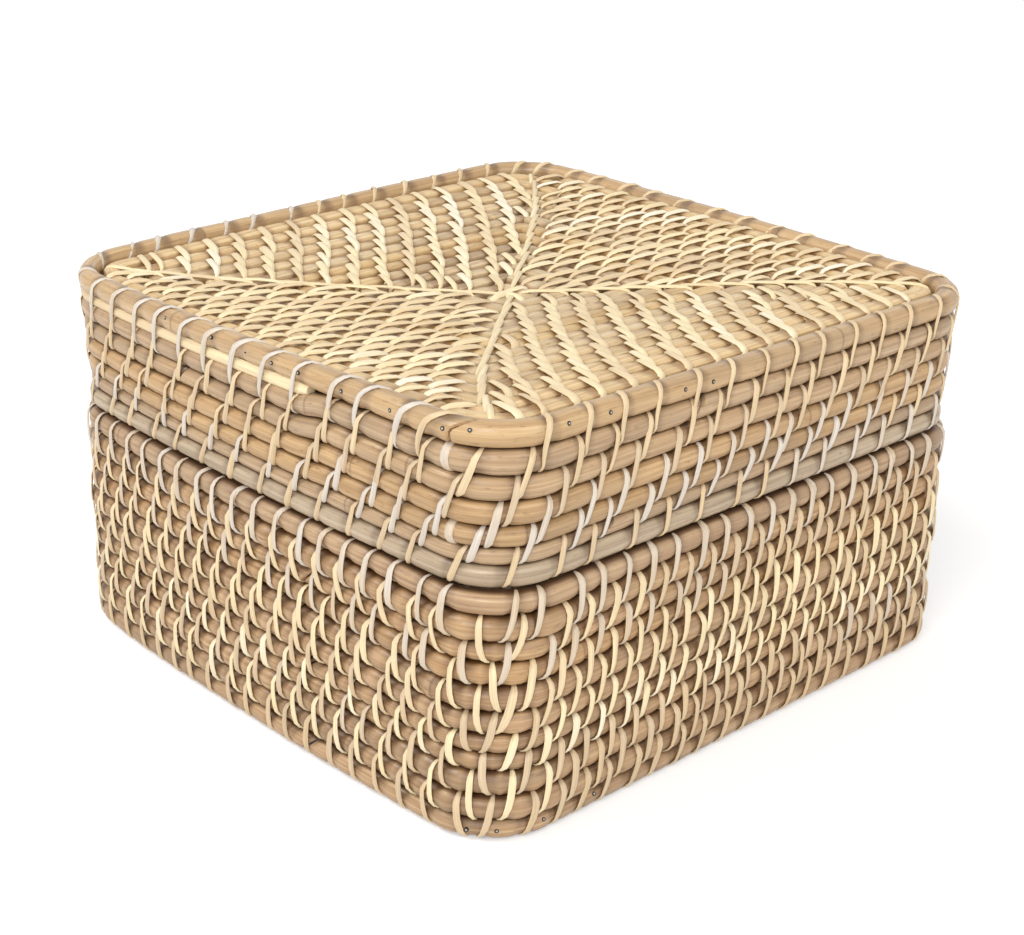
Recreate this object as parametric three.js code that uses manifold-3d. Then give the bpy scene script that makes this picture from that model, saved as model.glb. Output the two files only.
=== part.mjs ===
// Square box of coiled cane with a lift-off lid. Hoops of cane are stacked and lashed to each other with split
// cane, and the floor and the lid's top are one cane each, coiled in a square.
// Millimetres, +Z up, standing on z = 0. The front is -Y.
import * as THREE from 'three';
import { mergeVertices } from 'three/addons/utils/BufferGeometryUtils.js';
import loadManifold from 'manifold-3d';

// The box
const BOX_SIDE = 250; // over the canes of the base's wall
const CORNER_RADIUS = 23; // of a hoop, to the middle of its cane
const BASE_COURSES = 11; // hoops in the base's wall, with its foot and rim
const LID_COURSES = 7; // hoops in the lid's wall, with its edge and rim
const LID_LEAN = 1.6; // how far the lid's edge stands in from its rim

// Diameters of the canes
const FOOT_CANE = 8;
const BASE_CANE = 7.1;
const BASE_RIM_CANE = 8.4;
const COLLAR_CANE = 7;
const LID_EDGE_CANE = 7.6;
const LID_CANE = 6.7;
const LID_RIM_CANE = 8.4;
const PANEL_CANE = 7.2;

// Places of canes
const PANEL_SET_IN = 1.5; // floor and top stand in by this from the middle of foot and rim
const PANEL_DISH = 9; // how far the lid's top sinks toward its middle
const TIGHTEST_BEND = 0.4; // of the distance between a panel's turns
const LID_PLAY = 0.8; // between the collar and the lashings inside the lid
const JOINT_GAP = 0.5; // between the two ends of a hoop
const JOINT_SLANT = 5; // along the cane, of the slanting cut at these ends
const JOINT_SHARE = 0.14; // of the side, from its middle to a hoop's joint

// Lashings of split cane
const LASHING_THICKNESS = 0.5;
const LASHING_WIDTH = 2.6;
const LASHING_GAP = 0.2; // between a lashing and the cane in it
const BASE_LASHING_SHARE = 0.28; // of the side, from its middle
const LID_LASHING_SHARE = 0.22;
const COLLAR_LASHING_SHARE = 0.1;

// Smoothness
const CANE_FACETS = 8; // a multiple of 4, so that canes have flats above, below, inside and outside
const HOOP_BEND_STEPS = 4;
const GAP_SAMPLE = 4; // between the points on which a coil's gap to itself is measured

const COLOURS = {
  base: '#a98a62',
  lid: '#b8986c',
  edge: '#9a8866',
  panel: '#d3b384',
  lashing: '#e2cba4',
};

// Worked out from the sizes above
const COURSE_GAP = LASHING_THICKNESS + 2 * LASHING_GAP; // between neighbouring canes
const LASHING_REACH = LASHING_THICKNESS + LASHING_GAP; // past the face of a cane
const HALF_SIDE = (BOX_SIDE - BASE_CANE) / 2; // to the middle of a wall's cane
const SIDES = ['front', 'right', 'back', 'left'];
const LEFT = SIDES.indexOf('left');
const UP = new THREE.Vector3(0, 0, 1);

const manifold = await loadManifold();
manifold.setup();

const box = new THREE.Group();
box.name = 'coiled_cane_box';

function addPiece(name, geometry, colour, roughness) {
  const material = new THREE.MeshStandardMaterial({ color: colour, roughness, metalness: 0 });
  const mesh = new THREE.Mesh(geometry, material);
  mesh.name = name;
  box.add(mesh);
}

// The way out of the box through a side, and the way along it, counterclockwise seen from above
function outward(side) {
  const turn = (side * Math.PI) / 2;
  return new THREE.Vector3(Math.round(Math.sin(turn)), -Math.round(Math.cos(turn)), 0);
}

function sideways(side) {
  return outward(side + 1);
}

function onSide(side, along, out, z) {
  const point = new THREE.Vector3(0, 0, z);
  point.addScaledVector(sideways(side), along);
  return point.addScaledVector(outward(side), out);
}

// The bend that ends a side: the cane comes at the distance out and leaves at the distance along
function bend(side, along, out, z, radius, steps) {
  return Array.from({ length: steps + 1 }, (_, step) => {
    const angle = (step / steps) * (Math.PI / 2);
    const cutAlong = radius * (1 - Math.sin(angle));
    const cutOut = radius * (1 - Math.cos(angle));
    return onSide(side, along - cutAlong, out - cutOut, z);
  });
}

// A way through given points, at each of which the cane has a section square to its mean direction there
class CanePath extends THREE.Curve {
  constructor(points) {
    super();
    this.points = points;
  }

  getUtoTmapping(u) {
    return u;
  }

  getPoint(t) {
    const place = t * (this.points.length - 1);
    const index = Math.min(Math.floor(place), this.points.length - 2);
    return this.points[index].clone().lerp(this.points[index + 1], place - index);
  }

  getTangent(t) {
    const last = this.points.length - 1;
    const index = Math.round(t * last);
    const tangent = new THREE.Vector3();
    for (const start of [index - 1, index]) {
      if (start >= 0 && start < last) {
        tangent.add(this.points[start + 1].clone().sub(this.points[start]).normalize());
      }
    }
    return tangent.normalize();
  }

  // Keeps every section upright
  computeFrenetFrames(segments) {
    const tangents = Array.from({ length: segments + 1 }, (_, i) => this.getTangent(i / segments));
    const normals = tangents.map((tangent) => new THREE.Vector3().crossVectors(UP, tangent).normalize());
    const binormals = tangents.map((tangent, i) => new THREE.Vector3().crossVectors(tangent, normals[i]));
    return { tangents, normals, binormals };
  }
}

function caneGeometry(points, diameter) {
  const corner = diameter / 2 / Math.cos(Math.PI / CANE_FACETS);
  const outline = Array.from({ length: CANE_FACETS }, (_, i) => {
    const angle = ((2 * i + 1) * Math.PI) / CANE_FACETS;
    return new THREE.Vector2(corner * Math.cos(angle), corner * Math.sin(angle));
  });
  return new THREE.ExtrudeGeometry(new THREE.Shape(outline), {
    steps: points.length - 1,
    extrudePath: new CanePath(points),
    bevelEnabled: false,
  });
}

// Cuts the end of a cane on a slant, which leaves it square to the wall
function slantEnd(geometry, end, direction, diameter) {
  const position = geometry.getAttribute('position');
  const point = new THREE.Vector3();
  for (let i = 0; i < position.count; i += 1) {
    const offset = point.fromBufferAttribute(position, i).clone().sub(end);
    if (Math.abs(offset.dot(direction)) < JOINT_GAP / 10 && offset.length() < diameter) {
      point.addScaledVector(direction, (JOINT_SLANT * offset.z) / diameter);
      position.setXYZ(i, point.x, point.y, point.z);
    }
  }
  geometry.computeVertexNormals();
}

// One hoop, from its joint once round the box
function addHoop(name, course, jointSide, jointPlace, colour) {
  const { half, z, diameter } = course;
  const radius = CORNER_RADIUS - (HALF_SIDE - half);
  const start = onSide(jointSide, jointPlace + JOINT_GAP / 2, half, z);
  const end = onSide(jointSide, jointPlace - JOINT_GAP / 2, half, z);
  const bends = SIDES.flatMap((_, i) => bend(jointSide + i, half, half, z, radius, HOOP_BEND_STEPS));
  const geometry = caneGeometry([start, ...bends, end], diameter);
  const direction = sideways(jointSide);
  slantEnd(geometry, start, direction, diameter);
  slantEnd(geometry, end, direction, diameter);
  addPiece(name, geometry, colour, 0.5);
}

function stack(diameters, bottom) {
  let z = bottom;
  return diameters.map((diameter) => {
    const course = { diameter, z: z + diameter / 2, half: HALF_SIDE };
    z += diameter + COURSE_GAP;
    return course;
  });
}

function topOf(course) {
  return course.z + course.diameter / 2;
}

// The floor and the lid's top: one cane, coiled outward in a square until it fills the hoop round it
function planCoil(hoop, z, dish) {
  const room = hoop.half - hoop.diameter / 2 - COURSE_GAP - PANEL_CANE / 2;
  const turns = Math.floor(room / (PANEL_CANE + COURSE_GAP) + 1 / 4);
  const step = room / (4 * turns - 1); // further out at every side
  const pole = new THREE.Vector3(-step, -step, 0);
  const sides = Array.from({ length: 4 * turns }, (_, i) => {
    const side = (LEFT + i) % 4;
    const out = step * (i + 1) + pole.dot(outward(side));
    return { side, out, z: z - dish * (1 - (i + 1) / (4 * turns)) };
  });
  return { room, step, pole, sides, cornerRadius: CORNER_RADIUS - (HALF_SIDE - room) };
}

function coilPoints(coil) {
  const { room, step, pole, sides, cornerRadius } = coil;
  const first = sides[0];
  const last = sides[sides.length - 1];
  const points = [onSide(first.side, pole.dot(sideways(first.side)), first.out, first.z)];
  sides.slice(1).forEach((next, i) => {
    const inset = room - Math.max(sides[i].out, next.out);
    const radius = Math.max(TIGHTEST_BEND * 4 * step, cornerRadius - inset);
    const steps = Math.max(1, Math.round((2 * radius) / PANEL_CANE));
    const z = (sides[i].z + next.z) / 2;
    points.push(...bend(sides[i].side, next.out, sides[i].out, z, radius, steps));
  });
  points.push(onSide(last.side, room - cornerRadius, last.out, last.z));
  return points;
}

// Least gap between the turns of a coil, on points spaced evenly along it
function leastGap(points, diameter) {
  const samples = [];
  let travelled = 0;
  points.slice(1).forEach((next, i) => {
    const length = next.distanceTo(points[i]);
    const count = Math.ceil(length / GAP_SAMPLE);
    for (let k = 0; k < count; k += 1) {
      const place = points[i].clone().lerp(next, k / count);
      samples.push({ place, way: travelled + (k / count) * length });
    }
    travelled += length;
  });
  let least = Infinity;
  samples.forEach((a, i) => {
    for (const b of samples.slice(i + 1)) {
      if (b.way - a.way > 2 * diameter) {
        least = Math.min(least, a.place.distanceTo(b.place) - diameter);
      }
    }
  });
  return least;
}

function addCoil(name, coil, colour) {
  const points = coilPoints(coil);
  console.log(`${name}: least gap to itself ${leastGap(points, PANEL_CANE).toFixed(2)} mm`);
  addPiece(name, caneGeometry(points, PANEL_CANE), colour, 0.6);
}

function solidOf(geometry) {
  geometry.deleteAttribute('normal');
  geometry.deleteAttribute('uv');
  const merged = mergeVertices(geometry);
  const vertProperties = new Float32Array(merged.getAttribute('position').array);
  const triVerts = new Uint32Array(merged.index.array);
  return new manifold.Manifold(new manifold.Mesh({ numProp: 3, vertProperties, triVerts }));
}

function geometryOf(solid) {
  const { vertProperties, triVerts } = solid.getMesh();
  const geometry = new THREE.BufferGeometry();
  geometry.setAttribute('position', new THREE.BufferAttribute(vertProperties, 3));
  geometry.setIndex(new THREE.BufferAttribute(triVerts, 1));
  geometry.computeVertexNormals();
  return geometry;
}

// A strap round a row of canes, with a web between each two. The row's places are along it and across it.
function addLashing(name, row, alongRow, acrossRow, middle) {
  const edge = (way) =>
    row.flatMap(({ along, across, diameter }, i) => {
      const before = diameter / 2 + (i === 0 ? LASHING_REACH : 0);
      const after = diameter / 2 + (i === row.length - 1 ? LASHING_REACH : 0);
      const face = across + way * (diameter / 2 + LASHING_REACH);
      return [new THREE.Vector2(along - before, face), new THREE.Vector2(along + after, face)];
    });
  const outline = new THREE.Shape([...edge(-1), ...edge(1).reverse()]);
  const strap = new THREE.ExtrudeGeometry(outline, { depth: LASHING_WIDTH, bevelEnabled: false });
  const holes = row.map(({ along, across, diameter }) => {
    const width = diameter + 2 * LASHING_GAP;
    const hole = new THREE.BoxGeometry(width, width, 4 * LASHING_WIDTH);
    return solidOf(hole.translate(along, across, 0));
  });
  const lashing = manifold.Manifold.difference([solidOf(strap), ...holes]);
  const geometry = geometryOf(lashing.asOriginal().simplify());
  const width = new THREE.Vector3().crossVectors(alongRow, acrossRow);
  const frame = new THREE.Matrix4().makeBasis(alongRow, acrossRow, width);
  frame.setPosition(middle.clone().addScaledVector(width, -LASHING_WIDTH / 2));
  addPiece(name, geometry.applyMatrix4(frame), COLOURS.lashing, 0.55);
}

function addUprightLashing(name, courses, side, place) {
  const row = courses.map(({ half, z, diameter }) => ({ along: z, across: half, diameter }));
  addLashing(name, row, UP, outward(side), onSide(side, place, 0, 0));
}

function addLevelLashing(name, courses, side, place) {
  const row = courses.map(({ half, z, diameter }) => ({ along: half, across: z, diameter }));
  addLashing(name, row, outward(side), UP, onSide(side, place, 0, 0));
}

// The turns of a coil on a side, without the innermost, which is all bends
function coilCourses(coil, side) {
  const turns = coil.sides.filter((turn) => turn.side === side).slice(1);
  return turns.map(({ out, z }) => ({ half: out, z, diameter: PANEL_CANE }));
}

const number = (i) => String(i + 1).padStart(2, '0');

// Base: foot, wall and rim, from the ground up
const baseWall = Array(BASE_COURSES - 2).fill(BASE_CANE);
const base = stack([FOOT_CANE, ...baseWall, BASE_RIM_CANE], LASHING_REACH);
const foot = base[0];
const baseRim = base[BASE_COURSES - 1];
base.forEach((course, i) => {
  const plain = course === foot ? 'base_foot_hoop' : `base_hoop_${number(i)}`;
  const name = course === baseRim ? 'base_rim_hoop' : plain;
  addHoop(name, course, i % 4, JOINT_SHARE * BOX_SIDE, COLOURS.base);
});
const floor = planCoil(foot, foot.z + PANEL_SET_IN, 0);
addCoil('base_floor_coil', floor, COLOURS.base);

// Lid: edge, wall and rim, the wall leaning in toward the edge
const lidWall = Array(LID_COURSES - 2).fill(LID_CANE);
const lid = stack([LID_EDGE_CANE, ...lidWall, LID_RIM_CANE], topOf(baseRim) + COURSE_GAP);
const lidEdge = lid[0];
const lidRim = lid[LID_COURSES - 1];
lid.forEach((course, i) => {
  course.half -= LID_LEAN * (1 - i / (LID_COURSES - 1));
  if (course === lidEdge) {
    addHoop('lid_edge_hoop', course, 2, JOINT_SHARE * BOX_SIDE, COLOURS.edge);
  } else if (course === lidRim) {
    addHoop('lid_rim_hoop', course, 0, HALF_SIDE - CORNER_RADIUS - JOINT_SLANT, COLOURS.panel);
  } else {
    addHoop(`lid_hoop_${number(i)}`, course, i % 4, -JOINT_SHARE * BOX_SIDE, COLOURS.lid);
  }
});
const top = planCoil(lidRim, lidRim.z - PANEL_SET_IN, PANEL_DISH);
addCoil('lid_top_coil', top, COLOURS.panel);

// Collar: two hoops inside the base's rim, of which the upper one holds the lid in place
const collarFace = lidEdge.half - lidEdge.diameter / 2 - LASHING_REACH - LID_PLAY;
const collar = stack([COLLAR_CANE, COLLAR_CANE], baseRim.z - COLLAR_CANE / 2);
collar.forEach((course, i) => {
  course.half = collarFace - COLLAR_CANE / 2;
  addHoop(['collar_lower_hoop', 'collar_upper_hoop'][i], course, 3 - i, 0, COLOURS.base);
});

// Lashings
SIDES.forEach((name, side) => {
  for (const [mark, way] of [['a', -1], ['b', 1]]) {
    const basePlace = way * BASE_LASHING_SHARE * BOX_SIDE;
    const lidPlace = way * LID_LASHING_SHARE * BOX_SIDE;
    addUprightLashing(`base_lashing_${name}_${mark}`, base, side, basePlace);
    addUprightLashing(`lid_lashing_${name}_${mark}`, lid, side, lidPlace);
  }
  const collarPlace = COLLAR_LASHING_SHARE * BOX_SIDE;
  addUprightLashing(`collar_lashing_${name}`, collar, side, collarPlace);
  addLevelLashing(`collar_joint_${name}`, [collar[0], baseRim], side, -collarPlace);
  addLevelLashing(`base_floor_lashing_${name}`, [...coilCourses(floor, side), foot], side, 0);
  addLevelLashing(`lid_top_lashing_${name}`, [...coilCourses(top, side), lidRim], side, 0);
});

export default box;
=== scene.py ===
import bpy
import numpy as np
from mathutils import Matrix, Vector
from numpy import cos, pi, radians, sin, sqrt


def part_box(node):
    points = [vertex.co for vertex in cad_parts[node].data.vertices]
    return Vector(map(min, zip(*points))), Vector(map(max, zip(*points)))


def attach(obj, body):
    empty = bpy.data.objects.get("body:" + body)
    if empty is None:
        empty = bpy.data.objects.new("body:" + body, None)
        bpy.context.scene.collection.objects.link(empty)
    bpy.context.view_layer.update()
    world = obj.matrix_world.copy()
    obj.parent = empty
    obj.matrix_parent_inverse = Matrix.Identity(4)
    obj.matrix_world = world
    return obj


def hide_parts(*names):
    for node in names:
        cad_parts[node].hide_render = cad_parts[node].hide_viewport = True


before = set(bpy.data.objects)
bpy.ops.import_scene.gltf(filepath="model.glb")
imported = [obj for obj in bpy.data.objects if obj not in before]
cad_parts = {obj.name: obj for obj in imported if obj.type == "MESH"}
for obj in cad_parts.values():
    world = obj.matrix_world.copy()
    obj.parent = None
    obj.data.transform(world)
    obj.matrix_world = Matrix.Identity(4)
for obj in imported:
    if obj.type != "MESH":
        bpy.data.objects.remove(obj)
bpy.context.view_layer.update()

# Lengths are in millimetres up to the point where a mesh is made.
MM = 0.001
TINY = 1e-9
FULL_TURN = 2 * pi
ROOT_2 = sqrt(2)
ANY_PHASE = 6.28
SIDES = ("front", "right", "back", "left")

BASE_ROWS = ["base_foot_hoop"] + [f"base_hoop_{i:02d}" for i in range(2, 11)] + ["base_rim_hoop"]
LID_ROWS = ["lid_edge_hoop"] + [f"lid_hoop_{i:02d}" for i in range(2, 7)] + ["lid_rim_hoop"]
COLLAR_ROWS = ["collar_lower_hoop", "collar_upper_hoop"]
BASE_TOP, LID_TOP = len(BASE_ROWS) - 1, len(LID_ROWS) - 1

# Heights of the courses at the front corner, from the bottom up. Elsewhere the canes are more even.
BASE_CORNER = (7.3, 9.0, 9.25, 6.75, 7.0, 8.35, 10.05, 8.2, 7.45, 9.55, 8.1)
LID_CORNER = (7.75, 5.65, 7.3, 8.3, 8.2, 8.5, 8.4)
CORNER_RADIUS = 23.0
COURSE_GAP, COLLAR_GAP = 0.2, 0.9

# Canes: points round a section, the step along, how square neighbours press them, and creases in degrees.
CANE_RING, COIL_RING = 20, 16
CANE_STEP = 1.6
PRESS, PANEL_PRESS = 2.5, 4.0
CREASE, CANE_CREASE = 50, 40

# How deep strips pinch the canes, how far a strip's grip reaches, and how much darker the canes are painted beside
# strips and where they touch each other: painted shade mixed with some dirt.
BASE_PINCH, LID_PINCH, PANEL_PINCH = 0.15, 0.08, 0.07
STRIP_SHADE_AND_GRIME, PANEL_SHADE_AND_GRIME = 0.68, 0.62
GRIP_REACH = 1.5
CREVICE_SHADE_AND_DIRT, PANEL_CREVICE_SHADE_AND_DIRT = 0.9, 0.7

# Strips of split cane: widths, thicknesses, and how far out they sit as a share of the cane's radius.
BASE_STRIP, LID_STRIP, PANEL_STRIP, SPINE_STRIP = 2.45, 2.25, 3.1, 2.1
STRIP_THICK, PANEL_STRIP_THICK = 0.8, 0.9
STRIP_SEAT, PANEL_SEAT = 0.93, 0.97

# A split cane that fills the groove under the lid's rim along the front, lower at its start than at its end.
FILLER_HIGH, FILLER_DEEP = 3.8, 1.7
FILLER_SPAN, FILLER_FADES = (-122.0, 48.0), (18.0, 20.0)
FILLER_START = 0.55

# How the hand-made box departs from a true square: swollen sides, corners pulled in, a twisted lid, a skewed coil.
SWELL_X, SWELL_Y = 1.5, 4.0
BASE_SWELL = 0.9
OUTERMOST = 1.1
CORNER_PULL = {(1, -1): -2.0, (-1, -1): 4.0, (1, 1): -1.0, (-1, 1): 0.5}
LID_TWIST = 1.6
PANEL_SKEW, PANEL_EDGE = 0.07, 113.0
FALL_OFF = 4


def box_mm(node):
    low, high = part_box(node)
    return np.array(low) / MM, np.array(high) / MM


def row_size(node):
    """Diameter of a hoop's cane and half side of its centre line."""
    low, high = box_mm(node)
    thick = high[2] - low[2]
    return thick, (high[0] - low[0]) / 2 - thick / 2


def smooth(t):
    t = np.clip(t, 0, 1)
    return t * t * (3 - 2 * t)


def pressed(angle, power=PRESS):
    """Radius of a cane squeezed between its neighbours, against a round one's."""
    return (np.abs(cos(angle)) ** power + np.abs(sin(angle)) ** power) ** (-1 / power)


def lifted(flat, height):
    """Points of the plan at heights, or directions in it with a part upwards."""
    return np.concatenate([flat, height[..., None]], -1)


def run_along(points):
    """How far along its path each point is."""
    return np.r_[0, np.cumsum(np.linalg.norm(np.diff(points, axis=0), axis=1))]


def grain_at(run, across, piece):
    """What the materials' noise follows: the way along a piece and across it, and the piece's number."""
    return np.stack(np.broadcast_arrays(run, across, piece), -1)


def unit(vectors):
    """The same directions with length 1."""
    return vectors / np.maximum(np.linalg.norm(vectors, axis=1), TINY)[:, None]


def turned(direction):
    """The direction a quarter turn on, seen from above."""
    return np.array([-direction[1], direction[0]])


HALF = row_size("base_rim_hoop")[1]
FLAT = HALF - CORNER_RADIUS
ARC = pi * CORNER_RADIUS / 2
QUARTER = 2 * FLAT + ARC
LOOP = 4 * QUARTER
FRONT_CORNER = FLAT + ARC / 2
SEAM = box_mm("base_rim_hoop")[1][2]
TOP = box_mm("lid_rim_hoop")[1][2]


def plan(s):
    """Points and outward directions on the walls' centre line, s along it from the middle of the front."""
    s = np.mod(np.asarray(s, float), LOOP)
    side = np.minimum(np.floor(s / QUARTER), 3)
    t = s - side * QUARTER
    turn = np.clip((t - FLAT) / CORNER_RADIUS, 0, pi / 2)
    ox, oy = sin(turn), -cos(turn)
    x = FLAT + CORNER_RADIUS * ox - np.maximum(FLAT - t, 0)
    y = -FLAT + CORNER_RADIUS * oy + np.maximum(t - FLAT - ARC, 0)
    c, d = cos(side * pi / 2), sin(side * pi / 2)
    point = np.stack([c * x - d * y, d * x + c * y], -1)
    outward = np.stack([c * ox - d * oy, d * ox + c * oy], -1)
    return point, outward


def settle(points, lid):
    """Moves points of the true square box to where the hand-made one has them."""
    points = np.array(points, float)
    x, y, z = points[..., 0], points[..., 1], points[..., 2]
    u, v = (np.clip(w / HALF, -OUTERMOST, OUTERMOST) for w in (x, y))
    swell = 1.0 if lid else BASE_SWELL
    nx = x + swell * SWELL_X * u * (1 - v * v)
    ny = y + swell * SWELL_Y * v * (1 - u * u)
    for (sx, sy), pull in CORNER_PULL.items():
        weight = np.clip(u * sx, 0, None) ** FALL_OFF * np.clip(v * sy, 0, None) ** FALL_OFF
        nx = nx - sx * pull * weight / ROOT_2
        ny = ny - sy * pull * weight / ROOT_2
    nz = z - LID_TWIST * u * v * np.clip((z - SEAM) / (TOP - SEAM), 0, 1) if lid else z
    return np.stack([nx, ny, nz], -1)


def skewed(points):
    """Makes the lid's coil longer from front to back than across, with its edge left in place."""
    points = np.array(points, float)
    pull = PANEL_SKEW * (1 - np.minimum(np.abs(points[..., :2]) / PANEL_EDGE, 1) ** FALL_OFF)
    points[..., 0] -= pull[..., 0] * points[..., 0]
    points[..., 1] += pull[..., 1] * points[..., 1]
    return points


class Wall:
    """A stack of hoops: for each row the outward offset, height and radius of its cane all the way round."""

    SAMPLES = 720
    # Waves round the wall: in the canes' heights, as a share of them, and in how far out the canes lie.
    HEIGHT_WAVES, HEIGHT_WAVE, LEAST_WAVE = (2, 3, 5), 0.035, 0.3
    BOW_WAVES, BOW_WAVE = (2, 3, 4, 7), 0.16

    def __init__(self, rows, chains, corner, lid, seed, gap, filler=0.0):
        self.rows, self.lid, self.body = rows, lid, "lid" if lid else "base"
        self.courses = [chains.course(k) for k in range(len(rows) - 1)]
        self.pinch, self.strip = (LID_PINCH, LID_STRIP) if lid else (BASE_PINCH, BASE_STRIP)
        rng = np.random.default_rng(seed)
        each = (len(rows), 1)
        s = np.linspace(0, LOOP, self.SAMPLES + 1)
        turn = FULL_TURN * s / LOOP
        lows, highs = np.array([box_mm(row) for row in rows])[:, :, 2].T
        edges = np.r_[lows[0], (highs[:-1] + lows[1:]) / 2, highs[-1]]
        even = np.diff(edges)[:, None]
        cells = np.repeat(even, len(s), 1)
        if corner:
            near = 0.5 + 0.5 * cos(turn - FULL_TURN * FRONT_CORNER / LOOP)
            cells = cells + (np.array(corner)[:, None] - even) * near
            for m in self.HEIGHT_WAVES:
                size = self.HEIGHT_WAVE * even * rng.uniform(self.LEAST_WAVE, 1, each)
                cells = cells + size * cos(m * turn + rng.uniform(0, ANY_PHASE, each))
        t = np.mod(s + LOOP / 2, LOOP) - LOOP / 2
        start, end = FILLER_SPAN
        along = np.clip((t - start) / (end - start), 0, 1)
        spare = filler * (FILLER_START + (1 - FILLER_START) * along)
        spare = spare * smooth((t - start) / FILLER_FADES[0]) * smooth((end - t) / FILLER_FADES[1])
        cells *= (edges[-1] - edges[0] - spare) / cells.sum(0)
        tops = edges[0] + np.cumsum(cells, 0)
        tops[-1] += spare
        self.s = s
        self.z = tops - cells / 2
        self.r = (cells - gap) / 2
        self.o = np.array([row_size(row)[1] - HALF for row in rows])[:, None] + 0 * s
        for m in self.BOW_WAVES:
            self.o = self.o + self.BOW_WAVE * cos(m * turn + rng.uniform(0, ANY_PHASE, each))
        # The middle and the height of the room left for the filler.
        self.spare = np.stack([tops[-2] + spare / 2, spare])

    def at(self, row, s):
        s = np.mod(s, LOOP)
        return tuple(np.interp(s, self.s, table[row]) for table in (self.o, self.z, self.r))


def added(name, data):
    """A new object of the scene."""
    made = bpy.data.objects.new(name, data)
    bpy.context.collection.objects.link(made)
    return made


class Build:
    """Collects vertices, faces and the two values that the materials read: the run of the grain and a tone."""

    def __init__(self):
        self.verts, self.faces, self.grain, self.tone = [], [], [], []
        self.count = 0

    def tube(self, rings, grain, tone, closed=False):
        """rings is steps x around x 3, and tone fits steps x around."""
        n, m = rings.shape[:2]
        start, end = self.count, self.count + n * m
        for i in range(n if closed else n - 1):
            a, b = start + i * m, start + (i + 1) % n * m
            self.faces += [(a + k, b + k, b + (k + 1) % m, a + (k + 1) % m) for k in range(m)]
        if not closed:
            self.faces += [tuple(range(start, start + m)), tuple(range(end - 1, end - m - 1, -1))]
        self.verts.append(rings.reshape(-1, 3))
        self.grain.append(grain.reshape(-1, 3))
        self.tone.append(np.broadcast_to(tone, (n, m)).ravel())
        self.count = end

    def object(self, name, material, body, replaces=(), crease=CREASE):
        mesh = bpy.data.meshes.new(name)
        verts = np.concatenate(self.verts)
        mesh.from_pydata((verts * MM).tolist(), [], self.faces)
        mesh.attributes.new("grain", "FLOAT_VECTOR", "POINT").data.foreach_set(
            "vector", np.concatenate(self.grain).ravel().astype(np.float32))
        mesh.attributes.new("tone", "FLOAT", "POINT").data.foreach_set(
            "value", np.concatenate(self.tone).astype(np.float32))
        mesh.polygons.foreach_set("use_smooth", [True] * len(mesh.polygons))
        mesh.set_sharp_from_angle(angle=radians(crease))
        mesh.materials.append(material)
        piece = added(name, mesh)
        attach(piece, body)
        if replaces:
            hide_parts(*replaces)


# Materials


class Graph:
    """The nodes of a material or of the world, with short ways to add more."""

    # Sockets of the Mix node that hold colours, and how far apart two pieces' noise is.
    MIX_A, MIX_B, MIX_OUT = 6, 7, 2
    PIECE_STEP = 7.31

    def __init__(self, data):
        data.use_nodes = True
        self.data, self.tree, self.parts = data, data.node_tree, None

    def shade(self, values, shader="Principled BSDF"):
        """Sets or links the inputs of a shader."""
        for key, value in values.items():
            self.feed(self.tree.nodes[shader].inputs[key], value)

    def node(self, kind, inputs=None, **settings):
        made = self.tree.nodes.new("ShaderNode" + kind)
        for key, value in settings.items():
            setattr(made, key, value)
        for key, value in (inputs or {}).items():
            self.feed(made.inputs[key], value)
        return made

    def feed(self, socket, value):
        if isinstance(value, bpy.types.NodeSocket):
            self.tree.links.new(value, socket)
        else:
            socket.default_value = value

    def math(self, operation, a, b=0.0):
        return self.node("Math", {0: a, 1: b}, operation=operation).outputs[0]

    def mix(self, factor, a, b, blend="MIX"):
        sockets = {0: factor, self.MIX_A: a, self.MIX_B: b}
        made = self.node("Mix", sockets, data_type="RGBA", blend_type=blend, clamp_factor=True)
        return made.outputs[self.MIX_OUT]

    def dim(self, colour, factor):
        grey = self.node("CombineColor", {0: factor, 1: factor, 2: factor}).outputs[0]
        return self.mix(1.0, colour, grey, "MULTIPLY")

    def tone(self):
        return self.node("Attribute", attribute_name="tone").outputs["Fac"]

    def grain(self, along, across, seed):
        """Noise coordinates that follow the grain: repeats per millimetre along and across."""
        if not self.parts:
            source = self.node("Attribute", attribute_name="grain").outputs["Vector"]
            self.parts = self.node("SeparateXYZ", {0: source}).outputs
        x = self.math("MULTIPLY", self.parts[0], along)
        y = self.math("MULTIPLY", self.parts[1], across)
        apart = {0: self.parts[2], 1: self.PIECE_STEP, 2: seed}
        z = self.node("Math", apart, operation="MULTIPLY_ADD").outputs[0]
        return self.node("CombineXYZ", {0: x, 1: y, 2: z}).outputs[0]

    def noise(self, vector, detail=3.0, roughness=0.6):
        inputs = {"Vector": vector, "Scale": 1.0, "Detail": detail, "Roughness": roughness}
        return self.node("TexNoise", inputs).outputs[0]

    def bump(self, height, strength, distance):
        inputs = {"Strength": strength, "Distance": distance, "Height": height}
        return self.node("Bump", inputs).outputs[0]

    def span(self, value, source, target=(0.0, 1.0)):
        """Maps the range source onto the range target."""
        return self.node("MapRange", dict(enumerate((value, *source, *target)))).outputs[0]

    def ramp(self, value, stops):
        made = self.node("ValToRGB", {0: value})
        ramp = made.color_ramp
        while len(ramp.elements) < len(stops):
            ramp.elements.new(1.0)
        for element, (place, code) in zip(ramp.elements, stops):
            element.position = place
            element.color = rgb(code)
        return made.outputs[0]


def rgb(code):
    """Linear colour of an sRGB hex code."""
    values = [int(code[i:i + 2], 16) / 255 for i in (1, 3, 5)]
    return tuple(c / 12.92 if c <= 0.04045 else ((c + 0.055) / 1.055) ** 2.4 for c in values) + (1.0,)


# The colours canes turn to where their tone is low: painted shade in the crevices and beside strips, mixed with dirt,
# and the marks at knots.
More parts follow.
